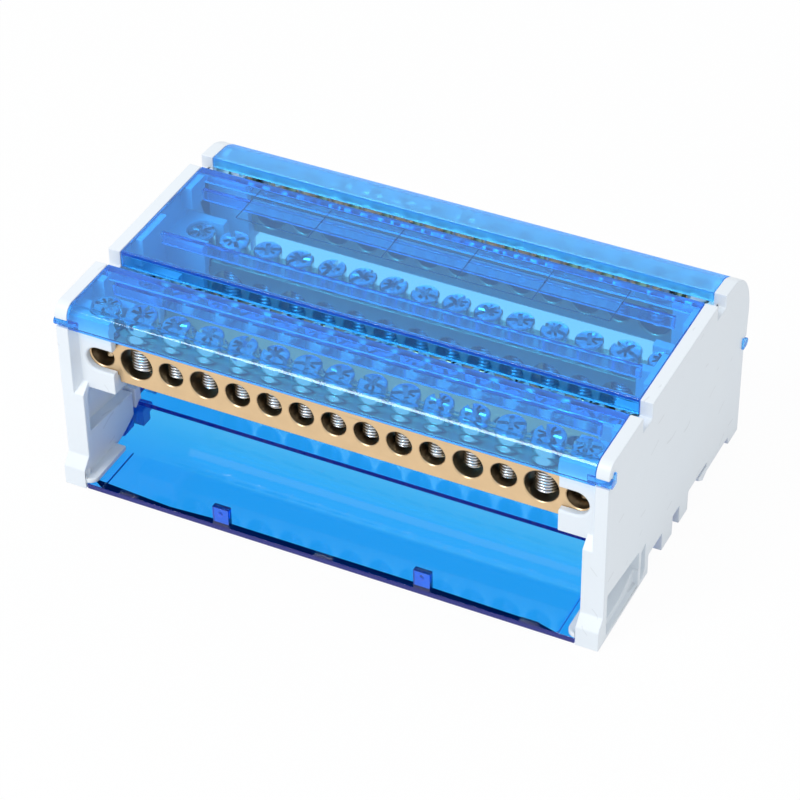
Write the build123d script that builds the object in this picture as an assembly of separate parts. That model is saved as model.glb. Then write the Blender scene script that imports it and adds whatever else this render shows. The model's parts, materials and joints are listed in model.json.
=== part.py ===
from build123d import *
import os

# Distribution terminal block: four brass bars between two moulded end plates, with clear covers.
# Millimetres. X runs along the bars, Y from the front to the rear, Z up from the feet.
# The origin is the middle of the footprint, on the surface that the block stands on.

os.makedirs("parts", exist_ok=True)

# Depths along Y, from the front foot to the back of the rear cover
FOOT_STEP = 2.4
FRONT_COVER_DEPTH = 18.4
GROOVE_WIDTH = 5.35
MIDDLE_COVER_DEPTH = 38.0
REAR_COVER_DEPTH = 16.3
HOOD_OVERHANG = 1.7
DEPTH = FOOT_STEP + FRONT_COVER_DEPTH + MIDDLE_COVER_DEPTH + REAR_COVER_DEPTH + 2 * GROOVE_WIDTH
FOOT_Y = -DEPTH / 2
FACE_Y = FOOT_Y + FOOT_STEP
FRONT_REAR_Y = FACE_Y + FRONT_COVER_DEPTH
MIDDLE_FRONT_Y = FRONT_REAR_Y + GROOVE_WIDTH
MIDDLE_REAR_Y = MIDDLE_FRONT_Y + MIDDLE_COVER_DEPTH
REAR_FRONT_Y = MIDDLE_REAR_Y + GROOVE_WIDTH
REAR_Y = REAR_FRONT_Y + REAR_COVER_DEPTH
BACK_Y = REAR_Y - HOOD_OVERHANG

# Heights
HEIGHT = 49.4
GROOVE_DEPTH = 4.1
GROOVE_Z = HEIGHT - GROOVE_DEPTH
HOOD_DROP = 0.7
HOOD_Z = HEIGHT - HOOD_DROP
FRONT_RADIUS = 3.0

# End plates, from the outer face inwards along X
LENGTH = 133.0
PLATE_WALL = 2.1
RIM_WIDTH = 3.1
RIM_BAND = 1.8
FLANGE_WIDTH = 5.5
FLANGE_WALL = 1.9
SHOULDER_RISE = 2.4
SHOULDER_WALL = 1.0
SHOULDER_SETBACK = 0.3
TOE_REACH = 7.8
RAIL_HOOK_REACH = 6.5
TOE_WALL = 1.3
TOE_CORNER = 2.2
BRACKET_REACH = 12.4
FOOT_HEIGHT = 5.2
FOOT_SLOPE = 2.6
FOOT_WALL = 2.6
JOIN = 0.2
OUTER_X = LENGTH / 2
WALL_X = OUTER_X - PLATE_WALL
RIM_X = OUTER_X - RIM_WIDTH
FLANGE_X = OUTER_X - FLANGE_WIDTH
TOE_X = OUTER_X - TOE_REACH
RAIL_HOOK_X = OUTER_X - RAIL_HOOK_REACH
BRACKET_X = OUTER_X - BRACKET_REACH
ROOT_X = WALL_X + 0.3

# Pivots of the front and rear covers
PIVOT_RADIUS = 1.05
PIVOT_CLEARANCE = 0.08
PIVOT_INSET = 1.0
PIVOT_DROP = 4.8
PIVOT_Z = HEIGHT - PIVOT_DROP
REAR_PIVOT_DROP = 23.7
REAR_PIVOT_Z = HEIGHT - REAR_PIVOT_DROP
SLOT_RADIUS = PIVOT_RADIUS + PIVOT_CLEARANCE
FRONT_PIVOT_Y = FACE_Y + PIVOT_INSET
REAR_PIVOT_Y = BACK_Y + 0.3
FLANGE_TOP = PIVOT_Z - 1.6
REAR_FLANGE_TOP = REAR_PIVOT_Z - 1.7
HOOK_GAP = 0.05
HOOK_THICKNESS = 0.4
HOOK_RISE = 1.5
HOOK_WIDTH = 1.0

# Rail channel under the block
RAIL_WIDTH = 35.4
RAIL_SHARE = 0.412
RAIL_FRONT_Y = -RAIL_SHARE * RAIL_WIDTH
RAIL_REAR_Y = RAIL_FRONT_Y + RAIL_WIDTH
RAIL_MID_Y = RAIL_FRONT_Y + RAIL_WIDTH / 2
RAIL_Z = 5.2
RAIL_LIP_TOP = 4.0
HOOK_NOSE = 4.9
TOOTH_TIP = 2.2
TOOTH_Z = 1.4
NOSE_Z = 3.2
ARM_Z = 2.4
REAR_FOOT = 6.1
POSTS = ((-6.4, 6.4), (3.5, 5.4))
FRONT_LIP = 1.2

# Base tray
TRAY_SETBACK = 0.3
TRAY_FRONT_Y = FOOT_Y + TRAY_SETBACK
TRAY_WALL = 1.5
TRAY_FLOOR = 14.3
TRAY_RISE = 11.9
TRAY_SAG = 1.0
TRAY_REAR_FLOOR = 6.3
TRAY_CLEARANCE = 0.1
TRAY_ROOF_Z = RAIL_Z + 0.2
TRAY_END_X = WALL_X - 0.2

# Pockets in the outer faces, and the fields that they raise inside
POCKET_DEPTH = 4.0
POCKET_SKIN = 1.0
POCKET_FRONT_Y = FACE_Y + 2.0
POCKET_LENGTH = 18.0
POCKET_TOP = 12.6
POCKET_FALL = 1.9
POCKET_LOW = 1.3
SHALLOW_DEPTH = 1.3
NARROW_WIDTH = 2.5
NARROW_WEB = 1.4
NARROW_CORNER = 1.2
NARROW_DROP = 0.3
FIELD_GAP = 1.2
FIELD_LOW = 1.0
DIMPLE_RADIUS = 0.9
DIMPLE_DEPTH = 0.3
DIMPLE_INSET = 1.2
DIMPLE_DROP = 1.0
POCKET_X = OUTER_X - POCKET_DEPTH
FIELD_X = POCKET_X - POCKET_SKIN
POCKET_REAR_Y = POCKET_FRONT_Y + POCKET_LENGTH
TAB_XS = (-0.194 * LENGTH, 0.183 * LENGTH)
TAB_WIDTH = 4.2
TAB_THICKNESS = 1.5
TAB_HEIGHT = 6.6
LUG_SPACING = 0.376 * LENGTH
LUG_WIDTH = 4.5
END_LINE_X = TOE_X - 1.9

# Covers
COVER_WALL = 1.5
COVER_GAP = 0.15
COVER_X = RIM_X - COVER_GAP
COVER_FRONT_Z = PIVOT_Z - 1.1
RIB_WALL = 1.2
RIB_DEPTH = 3.0
RIB_X = COVER_X - 4.25
FRONT_RIB = 13.6
MIDDLE_RIBS = (11.6, 31.0)
HOOD_WALL = 1.3
HOOD_LIP = 2.8
HOOD_FLAT = 6.3
HOOD_SHOULDER_Z = HEIGHT - 15.9
LEDGE_REACH = 2.0
LEDGE_HEIGHT = 6.0
LEDGE_GAP = 0.05

# Bars
BAR_PITCH = 21.23
BAR_DEPTH = 8.0
BAR_HEIGHT = 12.0
BAR_HALF = BRACKET_X - 0.4
OUTER_HOLE_Z = HEIGHT - 14.6
INNER_HOLE_Z = OUTER_HOLE_Z - 7.0
TONGUE_HEIGHT = 8.4
TONGUE_X = FLANGE_X + 0.6
BAR_CLEARANCE = 0.05
HOLE_CHAMFER = 0.35
SMALL_HOLE = 6.0
MEDIUM_HOLE = 7.0
LARGE_HOLE = 8.0
END_HOLE = 5.8
MEDIUM_STEP = 8.4
LARGE_STEP = 8.8
END_STEP = 8.7
END_X = TONGUE_X - 3.6
LARGE_X = END_X - END_STEP
OUTSIDE_SMALL_X = LARGE_X - LARGE_STEP
MEDIUM_X = OUTSIDE_SMALL_X - MEDIUM_STEP
SMALL_PITCH = (MEDIUM_X - MEDIUM_STEP) / 3
SMALL_XS = [i * SMALL_PITCH for i in range(-3, 4)] + [-OUTSIDE_SMALL_X, OUTSIDE_SMALL_X]

# Clamp screws
SCREW_DIAMETER = 5.0
LARGE_SCREW_DIAMETER = 6.0
HEAD_DIAMETER = 6.6
LARGE_HEAD_DIAMETER = 7.4
HEAD_HEIGHT = 4.4
HEAD_TOP = 10.77
TIP_GAP = 1.4
END_POINT_DIAMETER = 2.4
END_POINT_GAP = 0.4
END_TIP = 1.8
RECESS_DEPTH = 1.8
RECESS_WIDTH = 1.1
THREAD_CLEARANCE = 0.05

# Brackets that hold the bars
BRACKET_DEPTH = 11.8
BRACKET_BELOW = 8.7
OUTER_BRACKET_ABOVE = FLANGE_TOP - OUTER_HOLE_Z
INNER_BRACKET_ABOVE = 11.2
FRONT_ARM_RISE = 2.6
MOUTH_CLEARANCE = 0.15
MOUTH_CHAMFER = 0.4
SHOULDER_DROP = 9.4
SHOULDER_Z = OUTER_HOLE_Z - SHOULDER_DROP
BRACKET_FACE_Y = -1.5 * BAR_PITCH - BRACKET_DEPTH / 2

# Each row of the block: name, Y, height of the wire holes, side that the wires enter
ROWS = (
    ("front_outer", -1.5 * BAR_PITCH, OUTER_HOLE_Z, -1),
    ("front_inner", -0.5 * BAR_PITCH, INNER_HOLE_Z, -1),
    ("rear_inner", 0.5 * BAR_PITCH, INNER_HOLE_Z, 1),
    ("rear_outer", 1.5 * BAR_PITCH, OUTER_HOLE_Z, 1),
)


def block(x0, x1, y0, y1, z0, z1):
    """A box between two corners."""
    size = Box(x1 - x0, y1 - y0, z1 - z0)
    return Pos((x0 + x1) / 2, (y0 + y1) / 2, (z0 + z1) / 2) * size


def side_face(edges):
    """A face in the side view, from edges whose points are (y, z)."""
    return Plane.YZ * make_face(edges)


def along_x(face, x0, x1):
    """Extrude a side view face from x0 to x1."""
    return Pos(x0, 0, 0) * extrude(face, amount=x1 - x0, dir=(1, 0, 0))


def side_prism(points, x0, x1):
    """A prism along X over a polygon of (y, z) points."""
    return along_x(side_face(Polyline(*points, close=True)), x0, x1)


def rod_x(radius, x0, x1, y, z):
    return Pos((x0 + x1) / 2, y, z) * Rot(0, 90, 0) * Cylinder(radius, x1 - x0)


def rod_y(radius, length, x, y, z):
    return Pos(x, y, z) * Rot(90, 0, 0) * Cylinder(radius, length)


def rod_z(radius, z0, z1, x, y):
    return Pos(x, y, (z0 + z1) / 2) * Cylinder(radius, z1 - z0)


def hood_edges(inset):
    """Top, shoulder and back of the rear cover, moved inwards by inset."""
    flat = (REAR_FRONT_Y + HOOD_FLAT, HOOD_Z - 0.5 - inset)
    shoulder = (REAR_Y - 2.8 - 0.7 * inset, HOOD_Z - 5.5 - 0.7 * inset)
    back = (REAR_Y - inset, HOOD_SHOULDER_Z)
    return flat, shoulder, back


def plate_outline():
    """Side view of an end plate: foot, face, rims, grooves, hood, rail channel."""
    flat, shoulder, back = hood_edges(0)
    slot_low, slot_high = PIVOT_Z - SLOT_RADIUS, PIVOT_Z + SLOT_RADIUS
    rear_low, rear_high = REAR_PIVOT_Z - SLOT_RADIUS, REAR_PIVOT_Z + SLOT_RADIUS
    corner = FRONT_RADIUS * (1 - 0.7071)
    bottom = []
    for offset, width in reversed(POSTS):
        middle = RAIL_MID_Y + offset
        bottom += [(middle + width / 2, RAIL_Z), (middle + width / 2, 0)]
        bottom += [(middle - width / 2, 0), (middle - width / 2, RAIL_Z)]
    return side_face([
        Polyline((FOOT_Y, 0), (FOOT_Y, FOOT_HEIGHT), (FACE_Y, FOOT_HEIGHT + FOOT_SLOPE),
                 (FACE_Y, slot_low), (FRONT_PIVOT_Y, slot_low)),
        ThreePointArc((FRONT_PIVOT_Y, slot_low), (FRONT_PIVOT_Y + SLOT_RADIUS, PIVOT_Z),
                      (FRONT_PIVOT_Y, slot_high)),
        Polyline((FRONT_PIVOT_Y, slot_high), (FACE_Y, slot_high), (FACE_Y, HEIGHT - FRONT_RADIUS)),
        ThreePointArc((FACE_Y, HEIGHT - FRONT_RADIUS), (FACE_Y + corner, HEIGHT - corner),
                      (FACE_Y + FRONT_RADIUS, HEIGHT)),
        Polyline((FACE_Y + FRONT_RADIUS, HEIGHT), (FRONT_REAR_Y, HEIGHT), (FRONT_REAR_Y, GROOVE_Z),
                 (MIDDLE_FRONT_Y, GROOVE_Z), (MIDDLE_FRONT_Y, HEIGHT), (MIDDLE_REAR_Y, HEIGHT),
                 (MIDDLE_REAR_Y, GROOVE_Z), (REAR_FRONT_Y, GROOVE_Z), (REAR_FRONT_Y, HOOD_Z), flat),
        ThreePointArc(flat, shoulder, back),
        Polyline(back, (REAR_Y - 0.4, rear_high), (REAR_PIVOT_Y, rear_high)),
        ThreePointArc((REAR_PIVOT_Y, rear_high), (REAR_PIVOT_Y - SLOT_RADIUS, REAR_PIVOT_Z),
                      (REAR_PIVOT_Y, rear_low)),
        Polyline((REAR_PIVOT_Y, rear_low), (BACK_Y, rear_low - 0.3), (BACK_Y, 0),
                 (BACK_Y - REAR_FOOT, 0), (BACK_Y - REAR_FOOT - 0.6, ARM_Z), (RAIL_REAR_Y, ARM_Z),
                 (RAIL_REAR_Y - TOOTH_TIP, TOOTH_Z), (RAIL_REAR_Y - HOOK_NOSE, NOSE_Z),
                 (RAIL_REAR_Y - HOOK_NOSE, RAIL_LIP_TOP), (RAIL_REAR_Y, RAIL_LIP_TOP),
                 (RAIL_REAR_Y, RAIL_Z), *bottom, (RAIL_FRONT_Y, RAIL_Z), (RAIL_FRONT_Y, 0),
                 (FOOT_Y, 0)),
    ])


def plate_recess():
    """The recess inside a plate, one rim band in from its outline."""
    flat, shoulder, back = hood_edges(RIM_BAND)
    low = FOOT_HEIGHT + FOOT_SLOPE + 0.4
    step = GROOVE_Z - RIM_BAND
    top = HEIGHT - RIM_BAND
    return side_face([
        Polyline(back, (BACK_Y - RIM_BAND, REAR_FLANGE_TOP), (BACK_Y - RIM_BAND, low),
                 (FACE_Y + RIM_BAND, low), (FACE_Y + RIM_BAND, top),
                 (FRONT_REAR_Y - RIM_BAND, top), (FRONT_REAR_Y - RIM_BAND, step),
                 (MIDDLE_FRONT_Y + RIM_BAND, step), (MIDDLE_FRONT_Y + RIM_BAND, top),
                 (MIDDLE_REAR_Y - RIM_BAND, top), (MIDDLE_REAR_Y - RIM_BAND, step),
                 (REAR_FRONT_Y + RIM_BAND, step), (REAR_FRONT_Y + RIM_BAND, HOOD_Z - RIM_BAND), flat),
        ThreePointArc(flat, shoulder, back),
    ])


def tray_section(clearance):
    """Side view of the tray, grown by a clearance above, below and at its ends."""
    low, high = -clearance, TRAY_WALL + clearance
    front, rear = TRAY_FRONT_Y - clearance, BACK_Y + clearance
    crease = FOOT_Y + TRAY_FLOOR
    roof_front = crease + TRAY_RISE
    roof_rear = RAIL_REAR_Y + 2.6
    rear_crease = BACK_Y - TRAY_REAR_FLOOR
    rise_mid = (crease + roof_front) / 2
    fall_mid = (roof_rear + rear_crease) / 2
    mid_z = TRAY_ROOF_Z / 2 - TRAY_SAG

    def skin(z):
        return [
            ThreePointArc((crease, z), (rise_mid, mid_z + z), (roof_front, TRAY_ROOF_Z + z)),
            Line((roof_front, TRAY_ROOF_Z + z), (roof_rear, TRAY_ROOF_Z + z)),
            ThreePointArc((roof_rear, TRAY_ROOF_Z + z), (fall_mid, mid_z + z), (rear_crease, z)),
            Line((rear_crease, z), (rear, z)),
        ]

    return side_face([
        Line((front, low), (crease, low)), *skin(low), Line((rear, low), (rear, high)),
        *skin(high), Line((crease, high), (front, high)), Line((front, high), (front, low)),
    ])


def socket_mouth(y, hole_z, facing):
    """The round-ended opening through a bracket's face, level with the bar's end hole."""
    faces = []
    half = BRACKET_DEPTH / 2
    for inset, spread in ((-1.0, MOUTH_CHAMFER), (0, MOUTH_CHAMFER), (MOUTH_CHAMFER, 0), (half, 0)):
        radius = END_HOLE / 2 + MOUTH_CLEARANCE + spread
        level = y + facing * (half - inset)
        high, low = (END_X, level, hole_z + radius), (END_X, level, hole_z - radius)
        faces.append(make_face([
            ThreePointArc(high, (END_X + radius, level, hole_z), low),
            Line(low, (BRACKET_X - 1, level, hole_z - radius)),
            Line((BRACKET_X - 1, level, hole_z - radius), (BRACKET_X - 1, level, hole_z + radius)),
            Line((BRACKET_X - 1, level, hole_z + radius), high),
        ]))
    return loft(faces, ruled=True)


def bracket(y, hole_z, facing):
    """A block with a socket for a bar's tongue and a slot for its end screw."""
    half = BRACKET_DEPTH / 2
    above = OUTER_BRACKET_ABOVE if hole_z == OUTER_HOLE_Z else INNER_BRACKET_ABOVE
    body = block(BRACKET_X, ROOT_X, y - half, y + half, hole_z - BRACKET_BELOW, hole_z + above)
    if y < 0 and hole_z == OUTER_HOLE_Z:
        top = hole_z + above + FRONT_ARM_RISE
        body += block(BRACKET_X, ROOT_X, y - half, y, hole_z + above - 1, top)
    socket_half = TONGUE_HEIGHT / 2 + BAR_CLEARANCE
    socket_depth = BAR_DEPTH / 2 + BAR_CLEARANCE
    socket_centre = TONGUE_X - TONGUE_HEIGHT / 2
    y0, y1 = y - socket_depth, y + socket_depth
    socket = block(BRACKET_X - 1, socket_centre, y0, y1, hole_z - socket_half, hole_z + socket_half)
    socket += rod_y(socket_half, y1 - y0, socket_centre, y, hole_z)
    slot_half = HEAD_DIAMETER / 2 + 0.3
    slot = block(BRACKET_X - 1, END_X, y - slot_half, y + slot_half, hole_z, HEIGHT)
    slot += rod_z(slot_half, hole_z, HEIGHT, END_X, y)
    return body - socket - socket_mouth(y, hole_z, facing) - slot


def shoulder():
    """The slanted wall between the rim and the front bracket, above the front flange."""
    front, back = FACE_Y + SHOULDER_SETBACK, BRACKET_FACE_Y + JOIN
    inner, outer = RIM_X - SHOULDER_WALL, RIM_X + JOIN
    plan = make_face(Polyline((RIM_X, front), (inner, BRACKET_FACE_Y), (inner, back), (outer, back),
                              (outer, front), close=True))
    wall = extrude(plan, amount=FLANGE_TOP - SHOULDER_SETBACK - SHOULDER_Z, dir=(0, 0, 1))
    return Pos(0, 0, SHOULDER_Z) * wall


def pocket_floor(rear, level):
    """Edges of a pocket's floor from its rear end to the tray's crease, level above the tray."""
    crease = FOOT_Y + TRAY_FLOOR
    roof_front = crease + TRAY_RISE
    middle = ((crease + roof_front) / 2, TRAY_ROOF_Z / 2 - TRAY_SAG + level)
    whole = ThreePointArc((crease, level), middle, (roof_front, TRAY_ROOF_Z + level))
    share = (rear - crease) / TRAY_RISE
    return whole.trim(0, share)


def cheek():
    """The two fields that the outer pockets raise inside a plate, cut off along the tray."""
    front, top, low = POCKET_FRONT_Y - POCKET_SKIN, POCKET_TOP + POCKET_SKIN, FIELD_LOW
    rear = POCKET_REAR_Y + POCKET_SKIN
    end = rear + FIELD_GAP + NARROW_WIDTH
    fall = POCKET_FALL / POCKET_LENGTH
    body = side_prism([(front, low), (front, top), (rear, top - fall * (rear - front)), (rear, low)],
                      FIELD_X, ROOT_X)
    start = rear + FIELD_GAP
    body += side_prism([(start, low), (start, top - fall * (start - front)),
                        (end, top - fall * (end - front) - NARROW_DROP), (end, low)], FIELD_X, ROOT_X)
    return body


def pocket():
    """The deep pocket in the outer face, its shallow lower edge, and the narrow pocket behind it."""
    front, rear = POCKET_FRONT_Y, POCKET_REAR_Y
    top, rear_top = POCKET_TOP, POCKET_TOP - POCKET_FALL
    crease = FOOT_Y + TRAY_FLOOR
    level = TRAY_WALL + TRAY_CLEARANCE + POCKET_SKIN
    floor = pocket_floor(rear, level)
    deep = side_face([
        floor, Line(floor @ 1, (rear, rear_top)),
        Polyline((rear, rear_top), (front, top), (front, level), (crease, level)),
    ])
    body = along_x(deep, POCKET_X, OUTER_X + 1)
    shallow_x = OUTER_X - SHALLOW_DEPTH
    body += side_prism([(front, POCKET_LOW), (front, top), (rear, rear_top), (rear, POCKET_LOW)],
                       shallow_x, OUTER_X + 1)
    start = rear + NARROW_WEB
    end = start + NARROW_WIDTH
    body += side_prism([(start, POCKET_LOW), (start, rear_top - NARROW_CORNER),
                        (end, rear_top - NARROW_DROP), (end, POCKET_LOW + NARROW_CORNER),
                        (end - NARROW_CORNER, POCKET_LOW)], shallow_x, OUTER_X + 1)
    return body


def end_plate():
    """The right end plate."""
    plate = along_x(plate_outline(), RIM_X, OUTER_X) - along_x(plate_recess(), RIM_X - 1, WALL_X)
    foot_back = FOOT_Y + FOOT_WALL
    plate += side_prism([(FOOT_Y, 0), (FOOT_Y, FOOT_HEIGHT), (FACE_Y, FOOT_HEIGHT + FOOT_SLOPE),
                         (FACE_Y, SHOULDER_Z), (BRACKET_FACE_Y, SHOULDER_Z + SHOULDER_RISE),
                         (BRACKET_FACE_Y, SHOULDER_Z), (FACE_Y + FLANGE_WALL, SHOULDER_Z - 1.0),
                         (FACE_Y + FLANGE_WALL, FOOT_HEIGHT + 1.6), (foot_back, FOOT_HEIGHT - 0.6),
                         (foot_back, 0)], FLANGE_X, RIM_X + JOIN)
    plate += shoulder()
    plate -= rod_x(DIMPLE_RADIUS, FLANGE_X - 1, FLANGE_X + DIMPLE_DEPTH, FOOT_Y + DIMPLE_INSET,
                   FOOT_HEIGHT - DIMPLE_DROP)
    inner = cheek()
    toe = block(TOE_X, RIM_X + JOIN, FOOT_Y + 0.3, FOOT_Y + TRAY_FLOOR + 0.2,
                TRAY_WALL + TRAY_CLEARANCE, TRAY_WALL + TRAY_CLEARANCE + TOE_WALL)
    corner = toe.edges().filter_by(Axis.Z).group_by(Axis.X)[0].sort_by(Axis.Y)[0]
    inner += fillet(corner, TOE_CORNER)
    inner += block(RAIL_HOOK_X, RIM_X + JOIN, RAIL_FRONT_Y - 3.2, RAIL_FRONT_Y, 0, RAIL_Z - 0.2)
    inner += block(RAIL_HOOK_X, RIM_X + JOIN, RAIL_FRONT_Y - 0.1, RAIL_FRONT_Y + FRONT_LIP, ARM_Z,
                   RAIL_LIP_TOP)
    inner -= along_x(tray_section(TRAY_CLEARANCE), TOE_X - 1, WALL_X)
    plate = plate - tray_channel() + inner
    plate += block(FLANGE_X, RIM_X + JOIN, BACK_Y - FLANGE_WALL, BACK_Y, 0, REAR_FLANGE_TOP)
    for _, y, hole_z, facing in ROWS:
        plate += bracket(y, hole_z, facing)
    for y0, y1, top in ledges():
        plate += block(RIM_X - LEDGE_REACH, ROOT_X, y0, y1, top - LEDGE_HEIGHT, top)
    return plate - pocket()


def tray_channel():
    """The groove in a plate's inner face that takes an end of the tray."""
    behind_foot = FOOT_Y + FOOT_WALL
    ahead_of_flange = BACK_Y - FLANGE_WALL
    section = along_x(tray_section(TRAY_CLEARANCE), RIM_X - 1, WALL_X)
    keep = block(RIM_X - 2, WALL_X + 1, behind_foot, ahead_of_flange, -1, HEIGHT)
    return section & keep


def ledges():
    """Front edge, rear edge and top of each ledge that a cover rests on."""
    under = HEIGHT - COVER_WALL - LEDGE_GAP
    return ((FACE_Y + 13.1, FACE_Y + 15.4, under),
            (MIDDLE_FRONT_Y + 6.7, MIDDLE_FRONT_Y + 18.2, under),
            (MIDDLE_REAR_Y - 8.4, MIDDLE_REAR_Y - 2.0, under),
            (REAR_FRONT_Y + 3.9, REAR_FRONT_Y + HOOD_FLAT, HOOD_Z - 0.5 - HOOD_WALL - LEDGE_GAP))


def base_tray():
    """One clear moulding from the front edge to the rear edge."""
    tray = along_x(tray_section(0), -TRAY_END_X, TRAY_END_X)
    foot_gap = FLANGE_X - 0.2
    for side in (-1, 1):
        for y0, y1 in ((FOOT_Y - 1, FOOT_Y + FOOT_WALL + 0.2), (BACK_Y - FLANGE_WALL - 0.2, BACK_Y + 1)):
            x0, x1 = sorted((side * foot_gap, side * (TRAY_END_X + 1)))
            tray -= block(x0, x1, y0, y1, -1, TRAY_WALL + 1)
        tray += block(side * END_LINE_X - 0.25, side * END_LINE_X + 0.25, TRAY_FRONT_Y + 0.2,
                      FOOT_Y + TRAY_FLOOR, TRAY_WALL - 0.2, TRAY_WALL + 0.3)
    for x in TAB_XS:
        tray += block(x - TAB_WIDTH / 2, x + TAB_WIDTH / 2, TRAY_FRONT_Y,
                      TRAY_FRONT_Y + TAB_THICKNESS, 0.5, TAB_HEIGHT)
        tray += rod_y(0.6, 0.6, x, TRAY_FRONT_Y, TAB_HEIGHT - 1.6)
    for i in (-1, 0, 1):
        x = i * LUG_SPACING
        tray += block(x - LUG_WIDTH / 2, x + LUG_WIDTH / 2, TRAY_FRONT_Y + 0.2, TRAY_FRONT_Y + 1.1,
                      TRAY_WALL - 0.2, TRAY_WALL + 0.5)
    return tray


def pivot_ends(y, z, lean):
    """Pivot bars and J-shaped hooks at both ends of a cover; lean is the hook's side along Y."""
    ends = []
    hook_x = OUTER_X + HOOK_GAP
    tip_y, tip_z = y + lean * (PIVOT_RADIUS + HOOK_WIDTH / 2), z + HOOK_RISE
    hook = side_face([
        Polyline((y, z + HOOK_WIDTH / 2), (y, z - PIVOT_RADIUS), (tip_y, z - PIVOT_RADIUS)),
        ThreePointArc((tip_y, z - PIVOT_RADIUS),
                      (tip_y + lean * 0.35, z - PIVOT_RADIUS + 0.15),
                      (tip_y + lean * HOOK_WIDTH / 2, z - PIVOT_RADIUS + HOOK_WIDTH / 2)),
        Line((tip_y + lean * HOOK_WIDTH / 2, z - PIVOT_RADIUS + HOOK_WIDTH / 2),
             (tip_y + lean * HOOK_WIDTH / 2, tip_z)),
        ThreePointArc((tip_y + lean * HOOK_WIDTH / 2, tip_z), (tip_y, tip_z + HOOK_WIDTH / 2),
                      (tip_y - lean * HOOK_WIDTH / 2, tip_z)),
        Polyline((tip_y - lean * HOOK_WIDTH / 2, tip_z),
                 (tip_y - lean * HOOK_WIDTH / 2, z + HOOK_WIDTH / 2), (y, z + HOOK_WIDTH / 2)),
    ])
    for side in (-1, 1):
        x0, x1 = sorted((side * (COVER_X - 2.0), side * (hook_x + HOOK_THICKNESS)))
        ends.append(rod_x(PIVOT_RADIUS, x0, x1, y, z))
        x0, x1 = sorted((side * hook_x, side * (hook_x + HOOK_THICKNESS)))
        ends.append(along_x(hook, x0, x1))
    return ends


def rib(y, top):
    return block(-RIB_X, RIB_X, y - RIB_WALL / 2, y + RIB_WALL / 2, top - COVER_WALL - RIB_DEPTH,
                 top - COVER_WALL + 0.5)


def front_cover():
    """Lid over the front bar: face, rounded corner, top, rear skirt and one rib."""
    inner = FRONT_RADIUS - COVER_WALL
    outer_corner = FRONT_RADIUS * (1 - 0.7071)
    inner_corner = COVER_WALL + inner * (1 - 0.7071)
    face = side_face([
        Line((FACE_Y, COVER_FRONT_Z), (FACE_Y, HEIGHT - FRONT_RADIUS)),
        ThreePointArc((FACE_Y, HEIGHT - FRONT_RADIUS),
                      (FACE_Y + outer_corner, HEIGHT - outer_corner),
                      (FACE_Y + FRONT_RADIUS, HEIGHT)),
        Polyline((FACE_Y + FRONT_RADIUS, HEIGHT), (FRONT_REAR_Y, HEIGHT), (FRONT_REAR_Y, GROOVE_Z),
                 (FRONT_REAR_Y - COVER_WALL, GROOVE_Z), (FRONT_REAR_Y - COVER_WALL, HEIGHT - COVER_WALL),
                 (FACE_Y + FRONT_RADIUS, HEIGHT - COVER_WALL)),
        ThreePointArc((FACE_Y + FRONT_RADIUS, HEIGHT - COVER_WALL),
                      (FACE_Y + inner_corner, HEIGHT - inner_corner),
                      (FACE_Y + COVER_WALL, HEIGHT - FRONT_RADIUS)),
        Polyline((FACE_Y + COVER_WALL, HEIGHT - FRONT_RADIUS), (FACE_Y + COVER_WALL, COVER_FRONT_Z),
                 (FACE_Y, COVER_FRONT_Z)),
    ])
    cover = along_x(face, -COVER_X, COVER_X) + rib(FACE_Y + FRONT_RIB, HEIGHT)
    for piece in pivot_ends(FRONT_PIVOT_Y, PIVOT_Z, 1):
        cover += piece
    return cover


def middle_cover():
    """Lid over the two inner bars: top, front and rear skirts, two ribs."""
    points = [(MIDDLE_FRONT_Y, GROOVE_Z), (MIDDLE_FRONT_Y, HEIGHT), (MIDDLE_REAR_Y, HEIGHT),
              (MIDDLE_REAR_Y, GROOVE_Z), (MIDDLE_REAR_Y - COVER_WALL, GROOVE_Z),
              (MIDDLE_REAR_Y - COVER_WALL, HEIGHT - COVER_WALL),
              (MIDDLE_FRONT_Y + COVER_WALL, HEIGHT - COVER_WALL),
              (MIDDLE_FRONT_Y + COVER_WALL, GROOVE_Z)]
    cover = side_prism(points, -COVER_X, COVER_X)
    for offset in MIDDLE_RIBS:
        cover += rib(MIDDLE_FRONT_Y + offset, HEIGHT)
    return cover


def rear_cover():
    """Rounded hood over the rear bar, down to its pivots."""
    flat, shoulder, back = hood_edges(0)
    flat_in, shoulder_in, back_in = hood_edges(HOOD_WALL)
    foot = REAR_PIVOT_Z - 0.75
    low = (REAR_Y - 0.4, foot)
    low_in = (REAR_Y - 0.4 - HOOD_WALL, foot)
    face = side_face([
        Polyline((REAR_FRONT_Y, HOOD_Z - HOOD_LIP), (REAR_FRONT_Y, HOOD_Z), flat),
        ThreePointArc(flat, shoulder, back),
        Polyline(back, low, low_in, back_in),
        ThreePointArc(back_in, shoulder_in, flat_in),
        Polyline(flat_in, (REAR_FRONT_Y + HOOD_WALL, HOOD_Z - HOOD_WALL),
                 (REAR_FRONT_Y + HOOD_WALL, HOOD_Z - HOOD_LIP), (REAR_FRONT_Y, HOOD_Z - HOOD_LIP)),
    ])
    cover = along_x(face, -COVER_X, COVER_X)
    for piece in pivot_ends(REAR_PIVOT_Y, REAR_PIVOT_Z, -1):
        cover += piece
    return cover


def wire_hole(diameter, x, y, z):
    """A wire hole through a bar, opened at both faces by a chamfer."""
    hole = rod_y(diameter / 2, BAR_DEPTH + 1, x, y, z)
    for side in (-1, 1):
        mouth = Cone(diameter / 2, diameter / 2 + HOLE_CHAMFER, HOLE_CHAMFER)
        hole += Pos(x, y + side * (BAR_DEPTH - HOLE_CHAMFER) / 2, z) * Rot(-side * 90, 0, 0) * mouth
    return hole


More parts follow.
